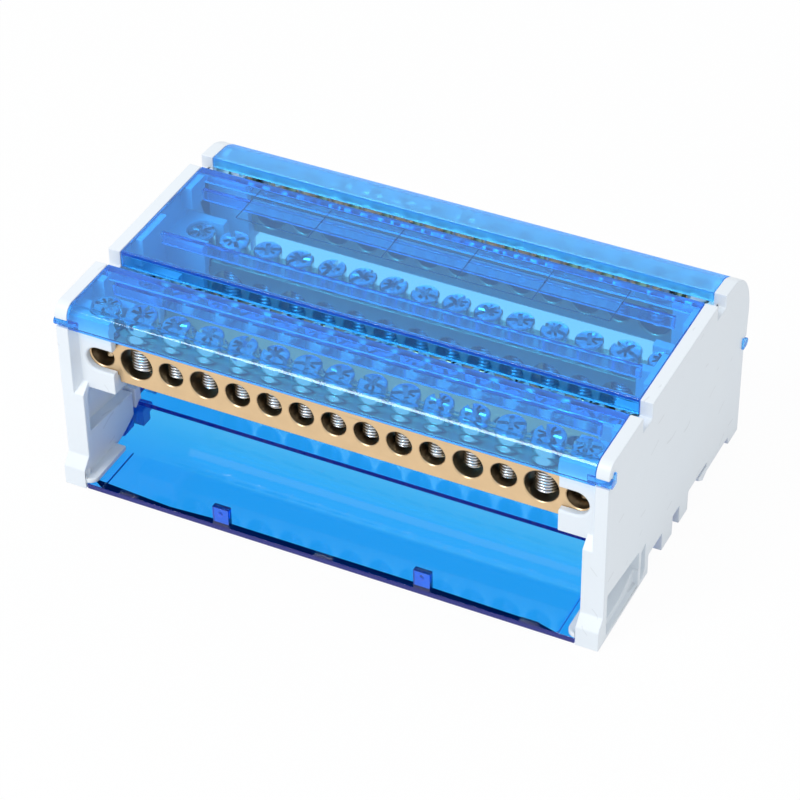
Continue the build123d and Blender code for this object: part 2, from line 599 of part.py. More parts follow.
def bar(y, z):
    """A drilled and tapped bar with a rounded tongue at each end."""
    tongue_radius = TONGUE_HEIGHT / 2
    y0, y1 = y - BAR_DEPTH / 2, y + BAR_DEPTH / 2
    body = block(-BAR_HALF, BAR_HALF, y0, y1, z - BAR_HEIGHT / 2, z + BAR_HEIGHT / 2)
    tongue_centre = TONGUE_X - tongue_radius
    body += block(-tongue_centre, tongue_centre, y0, y1, z - tongue_radius, z + tongue_radius)
    holes = [(x, SMALL_HOLE, SCREW_DIAMETER) for x in SMALL_XS]
    for side in (-1, 1):
        body += rod_y(tongue_radius, BAR_DEPTH, side * tongue_centre, y, z)
        holes.append((side * MEDIUM_X, MEDIUM_HOLE, SCREW_DIAMETER))
        holes.append((side * LARGE_X, LARGE_HOLE, LARGE_SCREW_DIAMETER))
        holes.append((side * END_X, END_HOLE, SCREW_DIAMETER))
    for x, hole, thread in holes:
        body -= wire_hole(hole, x, y, z)
        body -= rod_z(thread / 2 + THREAD_CLEARANCE, z, z + BAR_HEIGHT, x, y)
    return body


def screw(x, y, head_top, tip, thread, head):
    """A clamp screw with a cylindrical head, a cross recess and one wider slot."""
    neck = head_top - HEAD_HEIGHT
    body = rod_z(head / 2, neck, head_top, x, y) + rod_z(thread / 2, tip, neck, x, y)
    body -= block(x - head, x + head, y - RECESS_WIDTH / 2, y + RECESS_WIDTH / 2,
                  head_top - RECESS_DEPTH, head_top + 1)
    reach = head * 0.34
    body -= block(x - RECESS_WIDTH / 2, x + RECESS_WIDTH / 2, y - reach, y + reach,
                  head_top - RECESS_DEPTH, head_top + 1)
    return body


def clamp_screws(y, z):
    top = z + HEAD_TOP
    small = [screw(x, y, top, z - SMALL_HOLE / 2 + TIP_GAP, SCREW_DIAMETER, HEAD_DIAMETER)
             for x in SMALL_XS]
    medium = [screw(x, y, top, z - MEDIUM_HOLE / 2 + TIP_GAP, SCREW_DIAMETER, HEAD_DIAMETER)
              for x in (-MEDIUM_X, MEDIUM_X)]
    return small + medium


def large_screws(y, z):
    tip = z - LARGE_HOLE / 2 + TIP_GAP
    return [screw(x, y, z + HEAD_TOP, tip, LARGE_SCREW_DIAMETER, LARGE_HEAD_DIAMETER)
            for x in (-LARGE_X, LARGE_X)]


def end_screws(y, z):
    """Screws with narrow points that reach down into the end holes."""
    point_tip = z - END_HOLE / 2 + END_POINT_GAP
    screws = []
    for x in (-END_X, END_X):
        body = screw(x, y, z + HEAD_TOP, z + END_TIP, SCREW_DIAMETER, HEAD_DIAMETER)
        screws.append(body + rod_z(END_POINT_DIAMETER / 2, point_tip, z + END_TIP + 0.1, x, y))
    return screws


def save(name, shape):
    export_step(shape, os.path.join("parts", name + ".step"))


def main():
    plate = end_plate()
    save("right_end_plate", plate)
    save("left_end_plate", mirror(plate, about=Plane.YZ))
    save("base_tray", base_tray())
    save("front_cover", front_cover())
    save("middle_cover", middle_cover())
    save("rear_cover", rear_cover())
    for name, y, z, _ in ROWS:
        save(name + "_bar", bar(y, z))
        save(name + "_clamp_screws", Compound(children=clamp_screws(y, z)))
        save(name + "_large_screws", Compound(children=large_screws(y, z)))
        save(name + "_end_screws", Compound(children=end_screws(y, z)))


main()
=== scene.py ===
import json
from math import cos, pi, radians, sin, tau

import bmesh
import bpy
from bpy.props import (
    FloatProperty,
    FloatVectorProperty,
    IntProperty,
    PointerProperty,
)
from mathutils import Matrix, Vector

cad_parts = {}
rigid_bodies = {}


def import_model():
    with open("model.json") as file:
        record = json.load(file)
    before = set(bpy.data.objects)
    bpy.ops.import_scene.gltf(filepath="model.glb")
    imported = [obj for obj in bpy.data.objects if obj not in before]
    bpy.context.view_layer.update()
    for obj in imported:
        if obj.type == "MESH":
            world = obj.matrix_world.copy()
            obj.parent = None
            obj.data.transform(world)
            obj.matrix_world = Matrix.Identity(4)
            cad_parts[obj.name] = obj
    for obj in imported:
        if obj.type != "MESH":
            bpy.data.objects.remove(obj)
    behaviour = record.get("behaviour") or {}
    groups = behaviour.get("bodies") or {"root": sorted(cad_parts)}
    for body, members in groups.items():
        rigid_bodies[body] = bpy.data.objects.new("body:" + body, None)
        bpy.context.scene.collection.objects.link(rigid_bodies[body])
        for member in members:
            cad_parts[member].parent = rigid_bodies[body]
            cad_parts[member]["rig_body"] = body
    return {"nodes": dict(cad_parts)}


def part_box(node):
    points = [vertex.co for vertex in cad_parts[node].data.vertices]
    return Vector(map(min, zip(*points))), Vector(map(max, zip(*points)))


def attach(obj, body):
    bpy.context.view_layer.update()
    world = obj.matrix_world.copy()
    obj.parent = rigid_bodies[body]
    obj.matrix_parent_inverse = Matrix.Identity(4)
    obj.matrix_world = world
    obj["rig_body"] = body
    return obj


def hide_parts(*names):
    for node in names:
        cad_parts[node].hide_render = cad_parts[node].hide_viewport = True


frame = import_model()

bl_info = {
    "name": "Distribution terminal block",
    "version": (1, 0, 0),
    "blender": (4, 5, 0),
    "location": "3D view, sidebar, Terminal Block tab",
    "description": "Finishes the packed terminal block and sets up the studio for its picture",
    "category": "Object",
}

ROWS = ("front_outer", "front_inner", "rear_inner", "rear_outer")
PLATES = ("left_end_plate", "right_end_plate")

# The finish of each cover
COVERS = {"front_cover": "blue_plastic", "middle_cover": "blue_plastic", "rear_cover": "blue_hood"}

# Darker tone where a finish is worn, painted shade in a bore and down in a thread's root, and the hood's
# share of the covers' painted glow
WORN_SHADE = 0.72
BORE_PAINTED_SHADE = 0.40
THREAD_ROOT_PAINTED_SHADE = 0.10
HOOD_PAINTED_GLOW = 1.4

# Distances of the screws along a bar, in metres: the end screw's from the bar's end, and then each from
# the screw outside it
END_INSET = 0.0036
LARGE_STEP = 0.0087
OUTSIDE_STEP = 0.0088
MEDIUM_STEP = 0.0084

# Form of a screw: rounding of its head's rim, bevel of its tip, share of the thread's pitch that is crest,
# and rows of points in one turn of the thread
HEAD_ROUNDING = 0.0003
TIP_BEVEL = 0.0004
CREST_SHARE = 0.3
ROWS_PER_TURN = 8

# Grooves in a screw's head: length, width and depth as shares of its sizes, turn about the axis, and tilt
HEAD_GROOVES = (
    (2.4, 1.0, 1.0, 0.0, 0.0),
    (1.37, 1.0, 1.0, pi / 2, 0.0),
    (1.5, 0.4, 0.122, pi / 4, pi / 4),
    (1.5, 0.4, 0.122, -pi / 4, pi / 4),
)

# The printed table: its lines' distances from the middle cover's front edge, and its columns
TABLE_ROWS = (0.0238, 0.0275, 0.0325, 0.0362)
TABLE_COLUMNS = 5
PRINT_FILM = 0.00002

# Which edges are rounded and which stay sharp in the shading
MERGE_DISTANCE = 2e-6
FLAT_ANGLE = radians(1)
EDGE_ANGLE = radians(32)
SMOOTH_ANGLE = radians(38)
SCREW_SMOOTH_ANGLE = radians(40)
COVER_LEAST_EDGE = 0.0015

# The floor: half its width, its level, and how white it shows directly and through clear plastic
FLOOR_REACH = 3.0
FLOOR_LEVEL = -0.0002
FLOOR_SEEN = 0.96
FLOOR_THROUGH = 0.4


# Sizes and colours that a user would change


def length(name, description, default):
    """A length in metres, shown in the scene's own unit."""
    return FloatProperty(name=name, description=description, default=default, unit="LENGTH", precision=5)


def colour(name, description, default):
    """A linear colour swatch."""
    return FloatVectorProperty(
        name=name, description=description, default=default, subtype="COLOR", size=3, min=0, max=1
    )


def angle(name, description, degrees):
    """An angle, given in degrees."""
    return FloatProperty(name=name, description=description, default=radians(degrees), subtype="ANGLE")


def point(name, description, default):
    """A point of the scene, in metres."""
    return FloatVectorProperty(name=name, description=description, default=default, subtype="TRANSLATION")


class BlockSizes(bpy.types.PropertyGroup):
    """Sizes of the edges, screws and print, in metres."""

    plate_edge: length("Plate edge", "Radius on the edges of the white end plates", 0.00022)
    cover_edge: length("Cover edge", "Radius on the edges of the clear covers and tray", 0.00018)
    bar_edge: length("Bar edge", "Radius on the edges of the brass bars", 0.00015)
    screw_diameter: length("Screw diameter", "Outside diameter of the small screws' thread", 0.005)
    large_diameter: length("Large screw diameter", "Outside diameter of the large screws' thread", 0.006)
    thread_pitch: length("Thread pitch", "Distance from one thread crest to the next", 0.0008)
    thread_depth: length("Thread depth", "Depth of the thread's groove", 0.00048)
    head_height: length("Head height", "Height of a screw's cylindrical head", 0.0044)
    recess_width: length("Recess width", "Width of the slot and the cross in a screw's head", 0.0011)
    recess_depth: length("Recess depth", "Depth of the slot and the cross in a screw's head", 0.0018)
    point_diameter: length("Point diameter", "Diameter of the end screws' narrow points", 0.0024)
    point_length: length("Point length", "Length of the end screws' narrow points", 0.0043)
    line_width: length("Line width", "Width of a printed line on the middle cover", 0.00028)
    cell_width: length("Cell width", "Width of one cell of the printed table", 0.0186)
    cover_wall: length("Cover wall", "Thickness of the middle cover's top", 0.0015)
    seed: IntProperty(name="Seed", description="Sets which way the screws' slots point", default=7)


class BlockColours(bpy.types.PropertyGroup):
    """Base colours of the finishes."""

    plate: colour("Plates", "Cool white of the moulded end plates", (0.80, 0.85, 0.895))
    cover: colour("Covers", "Tint of the clear covers' surface", (0.52, 0.84, 1.0))
    # The cover glow is emission, a painted glow: the plastic is no lamp
    cover_painted_glow: colour("Cover glow", "Light that the dyed plastic scatters inside", (0.0, 0.021, 0.072))
    cover_depth: colour("Cover depth", "Colour left after a long path in a cover", (0.10, 0.76, 0.971))
    hood_depth: colour("Hood depth", "Colour left after a long path in the hood", (0.10, 0.91, 0.98))
    tray: colour("Tray", "Tint of the clear tray's surface", (0.87, 0.93, 0.90))
    # The tray glow is emission too, a painted glow
    tray_painted_glow: colour("Tray glow", "Light that the dyed tray scatters inside", (0.0, 0.004, 0.032))
    tray_depth: colour("Tray depth", "Colour left after a long path in the tray", (0.0, 0.755, 0.997))
    brass: colour("Brass", "Drawn brass of the bars", (0.80, 0.575, 0.335))
    zinc: colour("Zinc", "Zinc plating of the screws", (0.74, 0.76, 0.78))
    ink: colour("Ink", "Printed lines on the middle cover", (0.004, 0.012, 0.05))
    # Colour of the pale, partly see-through film laid over the table's middle row
    label: colour("Label", "Pale ground of the printed table's middle row", (0.75, 0.85, 0.95))
    floor: colour("Floor", "Pale studio floor", (0.86, 0.87, 0.88))


class StudioSettings(bpy.types.PropertyGroup):
    """Camera and lamp, set for the photograph's angle."""

    azimuth: angle("Azimuth", "Camera's turn from the front", 26.41)
    elevation: angle("Elevation", "Camera's height angle", 38.43)
    roll: angle("Roll", "Camera's turn about its view", -0.746)
    place: point("Place", "Camera's place", (0.23229, -0.47069, 0.43241))
    lens: FloatProperty(name="Lens", description="Focal length in millimetres", default=131.27)
    sky: FloatProperty(name="Sky", description="Strength of the even light from all round", default=0.82)
    key: FloatProperty(name="Key", description="Power of the main lamp in watts", default=4.0)
    key_size: length("Key size", "Side of the main lamp's square", 0.36)
    key_place: point("Key place", "Main lamp's place", (-0.30, -0.60, 0.82))
    key_target: point("Key target", "Point that the main lamp faces", (0, 0, 0.025))


# Small helpers for trees of nodes


def add_node(tree, kind, inputs=None, **settings):
    """Add one node, set its properties, and set or link its inputs by name or number."""
    node = tree.nodes.new(kind)
    for name, value in settings.items():
        setattr(node, name, value)
    for key, value in (inputs or {}).items():
        if isinstance(value, bpy.types.NodeSocket):
            tree.links.new(value, node.inputs[key])
        else:
            node.inputs[key].default_value = value
    return node


def calculate(tree, operation, a, b=0.0, clamp=False):
    """One step of arithmetic; a and b are numbers or sockets."""
    node = add_node(tree, "ShaderNodeMath", {0: a, 1: b}, operation=operation, use_clamp=clamp)
    return node.outputs[0]


def new_group(name, kind, inputs, outputs):
    """A node group with named sockets; inputs and outputs are (name, socket type, default)."""
    tree = bpy.data.node_groups.new(name, kind)
    for direction, sockets in (("INPUT", inputs), ("OUTPUT", outputs)):
        for label, socket_type, default in sockets:
            socket = tree.interface.new_socket(label, in_out=direction, socket_type=socket_type)
            if default is not None:
                socket.default_value = default
    return tree, add_node(tree, "NodeGroupInput"), add_node(tree, "NodeGroupOutput")


# Shared surface effects


def noise(tree, place, scale, detail, distortion=0.0):
    """The value of a noise texture."""
    inputs = {"Vector": place, "Scale": scale, "Detail": detail, "Distortion": distortion}
    return add_node(tree, "ShaderNodeTexNoise", inputs).outputs["Fac"]


def varied_roughness(tree, given, pattern):
    """The given roughness, which a pattern spreads to both sides."""
    either_way = calculate(tree, "SUBTRACT", pattern, 0.5)
    swing = calculate(tree, "MULTIPLY", either_way, given.outputs["Spread"])
    return calculate(tree, "ADD", given.outputs["Roughness"], swing, clamp=True)


def moulding_group():
    """Fine grain and slow unevenness of an injection moulded surface."""
    tree, given, result = new_group(
        "Moulded surface",
        "ShaderNodeTree",
        [
            ("Grain", "NodeSocketFloat", 2500.0),
            ("Roughness", "NodeSocketFloat", 0.35),
            ("Spread", "NodeSocketFloat", 0.1),
        ],
        [
            ("Roughness", "NodeSocketFloat", None),
            ("Height", "NodeSocketFloat", None),
            ("Mottle", "NodeSocketFloat", None),
        ],
    )
    place = add_node(tree, "ShaderNodeTexCoord").outputs["Object"]
    fine = noise(tree, place, given.outputs["Grain"], 2.0)
    slow = noise(tree, place, 70.0, 3.0, 0.4)
    height = calculate(tree, "ADD", calculate(tree, "MULTIPLY", fine, 0.25), slow)
    tree.links.new(varied_roughness(tree, given, slow), result.inputs["Roughness"])
    tree.links.new(height, result.inputs["Height"])
    tree.links.new(slow, result.inputs["Mottle"])
    return tree


def scuff_group():
    """Sparse fine scratches from handling, as a mask."""
    tree, given, result = new_group(
        "Handling scuffs",
        "ShaderNodeTree",
        [("Lines", "NodeSocketFloat", 90.0), ("Amount", "NodeSocketFloat", 0.5)],
        [("Mask", "NodeSocketFloat", None)],
    )
    place = add_node(tree, "ShaderNodeTexCoord").outputs["Object"]
    turned = add_node(tree, "ShaderNodeMapping", {"Vector": place, "Rotation": (0.9, 0.35, 0.6)})
    lines = add_node(
        tree,
        "ShaderNodeTexWave",
        {
            "Vector": turned.outputs[0],
            "Scale": given.outputs["Lines"],
            "Distortion": 6.0,
            "Detail": 2.0,
            "Detail Scale": 0.6,
        },
    )
    patches = noise(tree, place, 120.0, 1.0)
    thin = calculate(tree, "GREATER_THAN", lines.outputs["Fac"], 0.985)
    where = calculate(tree, "GREATER_THAN", patches, 0.62)
    mask = calculate(tree, "MULTIPLY", calculate(tree, "MULTIPLY", thin, where), given.outputs["Amount"])
    tree.links.new(mask, result.inputs["Mask"])
    return tree


def drawn_group():
    """Lines and tone of metal that was drawn or turned, stretched along X."""
    tree, given, result = new_group(
        "Drawn metal",
        "ShaderNodeTree",
        [
            ("Along", "NodeSocketFloat", 60.0),
            ("Across", "NodeSocketFloat", 4000.0),
            ("Roughness", "NodeSocketFloat", 0.3),
            ("Spread", "NodeSocketFloat", 0.2),
        ],
        [
            ("Roughness", "NodeSocketFloat", None),
            ("Height", "NodeSocketFloat", None),
            ("Tone", "NodeSocketFloat", None),
        ],
    )
    place = add_node(tree, "ShaderNodeTexCoord").outputs["Object"]
    stretch = add_node(
        tree,
        "ShaderNodeCombineXYZ",
        {"X": given.outputs["Along"], "Y": given.outputs["Across"], "Z": given.outputs["Across"]},
    )
    scaled = add_node(tree, "ShaderNodeVectorMath", {0: place, 1: stretch.outputs[0]}, operation="MULTIPLY")
    lines = noise(tree, scaled.outputs[0], 1.0, 3.0)
    tone = noise(tree, place, 260.0, 4.0)
    tree.links.new(varied_roughness(tree, given, lines), result.inputs["Roughness"])
    tree.links.new(lines, result.inputs["Height"])
    tree.links.new(tone, result.inputs["Tone"])
    return tree


def effect(tree, name, **inputs):
    """A node for one of the shared effects, whose group is built when it is first asked for."""
    group = bpy.data.node_groups.get(name) or EFFECTS[name]()
    return add_node(tree, "ShaderNodeGroup", inputs, node_tree=group)


EFFECTS = {"Moulded surface": moulding_group, "Handling scuffs": scuff_group, "Drawn metal": drawn_group}


def new_material(name):
    """A material with only its output node."""
    material = bpy.data.materials.new(name)
    material.use_nodes = True
    tree = material.node_tree
    tree.nodes.clear()
    return material, tree, add_node(tree, "ShaderNodeOutputMaterial")


def tint(tree, low, high, share):
    """A colour that goes from low to high with share."""
    mix = add_node(tree, "ShaderNodeMix", {"Factor": share}, data_type="RGBA")
    mix.inputs[6].default_value = (*low, 1)
    mix.inputs[7].default_value = (*high, 1)
    return mix.outputs[2]


def darkened(tree, light, dark, share):
    """A colour from a socket that goes to a fixed dark colour with share."""
    mix = add_node(tree, "ShaderNodeMix", {"Factor": share}, data_type="RGBA")
    tree.links.new(light, mix.inputs[6])
    mix.inputs[7].default_value = (*dark, 1)
    return mix.outputs[2]


def bumped(tree, height, strength, distance):
    """Normals of a surface with fine relief."""
    inputs = {"Height": height, "Strength": strength, "Distance": distance}
    return add_node(tree, "ShaderNodeBump", inputs).outputs[0]


# The finishes


def white_plastic(colours):
    """Satin white plastic with mould grain, slow mottling and a few scuffs."""
    material, tree, output = new_material("white moulded plastic")
    surface = effect(tree, "Moulded surface", Roughness=0.38, Spread=0.16)
    scuffs = effect(tree, "Handling scuffs", Amount=0.35)
    plain = Vector(colours.plate)
    body = tint(tree, plain * 0.97, plain * 1.02, surface.outputs["Mottle"])
    worn = darkened(tree, body, plain * WORN_SHADE, scuffs.outputs["Mask"])
    shader = add_node(
        tree,
        "ShaderNodeBsdfPrincipled",
        {
            "Base Color": worn,
            "Roughness": surface.outputs["Roughness"],
            "IOR": 1.5,
            "Normal": bumped(tree, surface.outputs["Height"], 0.12, 0.00008),
        },
    )
    tree.links.new(shader.outputs[0], output.inputs["Surface"])
    return material


def clear_plastic(name, skin, depth, glow, density, clear, haze, roughness):
    """Clear blue plastic, tinted at its skin, which deepens with the length of the path through it. Its
    emission is a painted blue glow.
    """
    material, tree, output = new_material(name)
    surface = effect(tree, "Moulded surface", Grain=600.0, Roughness=roughness, Spread=0.04)
    shader = add_node(
        tree,
        "ShaderNodeBsdfPrincipled",
        {
            "Base Color": (*skin, 1),
            "Roughness": surface.outputs["Roughness"],
            "IOR": 1.49,
            "Transmission Weight": clear,
            "Coat Weight": 0.1,
            "Coat Roughness": 0.03,
            "Sheen Weight": haze,
            "Sheen Roughness": 0.45,
            "Sheen Tint": (0.0, 0.30, 1.0, 1),
            # Painted glow: emission that makes the plastic look evenly lit blue
            "Emission Color": (*glow, 1),
            "Emission Strength": 1.0,
            "Normal": bumped(tree, surface.outputs["Height"], 0.003, 0.00002),
        },
    )
    lamp_light = add_node(tree, "ShaderNodeBsdfTransparent", {"Color": (0.94, 0.97, 1.0, 1)})
    path = add_node(tree, "ShaderNodeLightPath")
    both = add_node(
        tree,
        "ShaderNodeMixShader",
        {0: path.outputs["Is Shadow Ray"], 1: shader.outputs[0], 2: lamp_light.outputs[0]},
    )
    body = add_node(tree, "ShaderNodeVolumeAbsorption", {"Color": (*depth, 1), "Density": density})
    tree.links.new(both.outputs[0], output.inputs["Surface"])
    tree.links.new(body.outputs[0], output.inputs["Volume"])
    return material


def clear_cover(colours):
    """The front and middle covers, polished"""
    tints = colours.cover, colours.cover_depth, colours.cover_painted_glow
    return clear_plastic("clear blue cover", *tints, density=700.0, clear=0.97, haze=0.5, roughness=0.04)


def clear_hood(colours):
    """The rear cover, a little hazy inside its glossy skin, with a stronger painted glow"""
    tints = colours.cover, colours.hood_depth, Vector(colours.cover_painted_glow) * HOOD_PAINTED_GLOW
    return clear_plastic("clear blue hood", *tints, density=400.0, clear=0.90, haze=0.8, roughness=0.36)


def clear_tray(colours):
    """The tray, in a deeper blue"""
    tints = colours.tray, colours.tray_depth, colours.tray_painted_glow
    return clear_plastic("clear blue tray", *tints, density=2200.0, clear=1.0, haze=0.0, roughness=0.05)


def brass(colours):
    """Drawn brass, a little dull on the faces, with fine lines along the bar and painted shade inside its
    wire holes.
    """
    material, tree, output = new_material("drawn brass")
    surface = effect(tree, "Drawn metal", Roughness=0.36, Spread=0.22)
    plain = Vector(colours.brass)
    face = tint(tree, plain * 0.9, plain * 1.08, surface.outputs["Tone"])
    # Painted shade: the bore attribute darkens the brass inside the wire holes
    bore = add_node(tree, "ShaderNodeAttribute", attribute_name="bore").outputs["Fac"]
    shader = add_node(
        tree,
        "ShaderNodeBsdfPrincipled",
        {
            "Base Color": darkened(tree, face, plain * BORE_PAINTED_SHADE, bore),
            "Metallic": 1.0,
            "Roughness": surface.outputs["Roughness"],
            "Normal": bumped(tree, surface.outputs["Height"], 0.15, 0.00003),
        },
    )
    tree.links.new(shader.outputs[0], output.inputs["Surface"])
    return material


def zinc(colours):
    """Zinc plating with the faint pink and green of a passivated surface, and painted shade down in the
    thread's roots.
    """
    material, tree, output = new_material("zinc plating")
    surface = effect(tree, "Drawn metal", Along=900.0, Across=900.0, Roughness=0.24, Spread=0.18)
    plain = Vector(colours.zinc)
    pink = Vector((1.0030, 0.9327, 0.9729))
    green = Vector((0.9327, 1.0030, 0.9729))
    hue = tint(tree, plain * pink, plain * green, surface.outputs["Tone"])
    # Painted shade: the groove attribute darkens the zinc down in the thread's roots
    groove = add_node(tree, "ShaderNodeAttribute", attribute_name="groove").outputs["Fac"]
    shader = add_node(
        tree,
        "ShaderNodeBsdfPrincipled",
        {
            "Base Color": darkened(tree, hue, plain * THREAD_ROOT_PAINTED_SHADE, groove),
            "Metallic": 1.0,
            "Roughness": surface.outputs["Roughness"],
            "Normal": bumped(tree, surface.outputs["Height"], 0.1, 0.00003),
        },
    )
    tree.links.new(shader.outputs[0], output.inputs["Surface"])
    return material


def printed(name, pigment, cover):
    """A thin printed film; cover is the share of the light that it stops."""
    material, tree, output = new_material(name)
    surface = effect(tree, "Moulded surface", Roughness=0.5)
    plain = Vector(pigment)
    shader = add_node(
        tree,
        "ShaderNodeBsdfPrincipled",
        {
            "Base Color": tint(tree, plain * 0.9, plain, surface.outputs["Mottle"]),
            "Roughness": surface.outputs["Roughness"],
            "Alpha": cover,
        },
    )
    tree.links.new(shader.outputs[0], output.inputs["Surface"])
    return material


def dark_print(colours):
    """Dark ink of the table's lines"""
    return printed("dark print", colours.ink, 0.95)


def pale_film(colours):
    """Pale film behind the table's middle row"""
    return printed("pale print", colours.label, 0.28)


FINISHES = {
    "white_plastic": white_plastic,
    "blue_plastic": clear_cover,
    "blue_hood": clear_hood,
    "blue_tray": clear_tray,
    "brass": brass,
    "zinc": zinc,
    "ink": dark_print,
    "label": pale_film,
}

# Names of the materials made so far
FINISH_NAMES = {}


def finish(look):
    """One of the finishes, made when it is first asked for."""
    found = bpy.data.materials.get(FINISH_NAMES.get(look, ""))
    if found is None:
        found = FINISHES[look](bpy.context.scene.block_colours)
        FINISH_NAMES[look] = found.name
    return found


# Making and placing pieces


def add_piece(name, mesh, body, replaced=()):
    """Put a finished mesh into the scene on its body, in place of the CAD nodes it stands for."""
    piece = bpy.data.objects.new(name, mesh)
    bpy.context.scene.collection.objects.link(piece)
    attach(piece, body)
    if replaced:
        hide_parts(*replaced)
    return piece


def plain_mesh(builder):
    """The evaluated mesh of an object, with the object and its modifiers removed."""
    bpy.context.view_layer.update()
    graph = bpy.context.evaluated_depsgraph_get()
    mesh = bpy.data.meshes.new_from_object(builder.evaluated_get(graph), depsgraph=graph)
    old = builder.data
    builder.modifiers.clear()
    bpy.data.objects.remove(builder)
    if old.users == 0:
        bpy.data.meshes.remove(old)
    return mesh


def evenly_shaded(mesh):
    """Smooth shading in which large flat faces keep their own normals next to a rounded edge."""
    mesh.shade_smooth()
    mesh.set_sharp_from_angle(angle=SMOOTH_ANGLE)
    builder = bpy.data.objects.new(mesh.name + "_shaded", mesh)
    bpy.context.scene.collection.objects.link(builder)
    even = builder.modifiers.new("Even faces", "WEIGHTED_NORMAL")
    even.keep_sharp = True
    even.weight = 100
    return plain_mesh(builder)


def eased(node, radius, slot, least=0.0, look=None):
    """A CAD node with its edges rounded, apart from edges shorter than least.

    It wears its slot's finish, or the one that look names.
    """
    form = bmesh.new()
    form.from_mesh(frame["nodes"][node].data)
    bmesh.ops.remove_doubles(form, verts=form.verts, dist=MERGE_DISTANCE)
    bmesh.ops.dissolve_limit(
        form, angle_limit=FLAT_ANGLE, use_dissolve_boundaries=False, verts=form.verts, edges=form.edges
    )
    weight = form.edges.layers.float.new("bevel_weight_edge")
    for edge in form.edges:
        sharp = edge.is_manifold and edge.calc_face_angle() > EDGE_ANGLE
        edge[weight] = 1.0 if sharp and edge.calc_length() > least else 0.0
    start = bpy.data.meshes.new(node + "_edges")
    form.to_mesh(start)
    form.free()
    builder = bpy.data.objects.new(node + "_edges", start)
    bpy.context.scene.collection.objects.link(builder)
    bevel = builder.modifiers.new("Eased edges", "BEVEL")
    bevel.width = radius
    bevel.segments = 2
    bevel.limit_method = "WEIGHT"
    bevel.use_clamp_overlap = False
    bevel.miter_outer = "MITER_ARC"
    mesh = evenly_shaded(plain_mesh(builder))
    mesh.name = node + "_finished"
    mesh.materials.clear()
    mesh.materials.append(finish(look or slot))
    body = frame["nodes"][node]["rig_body"]
    return add_piece(node + "_finished", mesh, body, (node,))


def print_layer(name, fields, top, look, body):
    """A thin layer of print made of rectangles, given by their two ends along X and along Y."""
    form = bmesh.new()
    for x0, x1, y0, y1 in fields:
        place = Matrix.Translation(((x0 + x1) / 2, (y0 + y1) / 2, top - PRINT_FILM / 2))
        size = Matrix.Diagonal((x1 - x0, y1 - y0, PRINT_FILM, 1.0))
        bmesh.ops.create_cube(form, size=1.0, matrix=place @ size)
    mesh = bpy.data.meshes.new(name)
    form.to_mesh(mesh)
    form.free()
    mesh.materials.append(finish(look))
    return add_piece(name, mesh, body)


def mark_bore_shade(mesh, low, high):
    """Mark the faces inside a bar's wire holes, where painted shade makes the brass darker than outside."""
    middle = (low + high) / 2
    skin = 0.0004
    bore = mesh.attributes.new("bore", "FLOAT", "FACE")
    for face in mesh.polygons:
        inside = abs(face.center.y - middle.y) < (high.y - low.y) / 2 - skin
        level = abs(face.center.z - middle.z) < (high.z - low.z) / 2 - 4 * skin
        bore.data[face.index].value = 1.0 if inside and level else 0.0


# Clamp screws, by Geometry Nodes


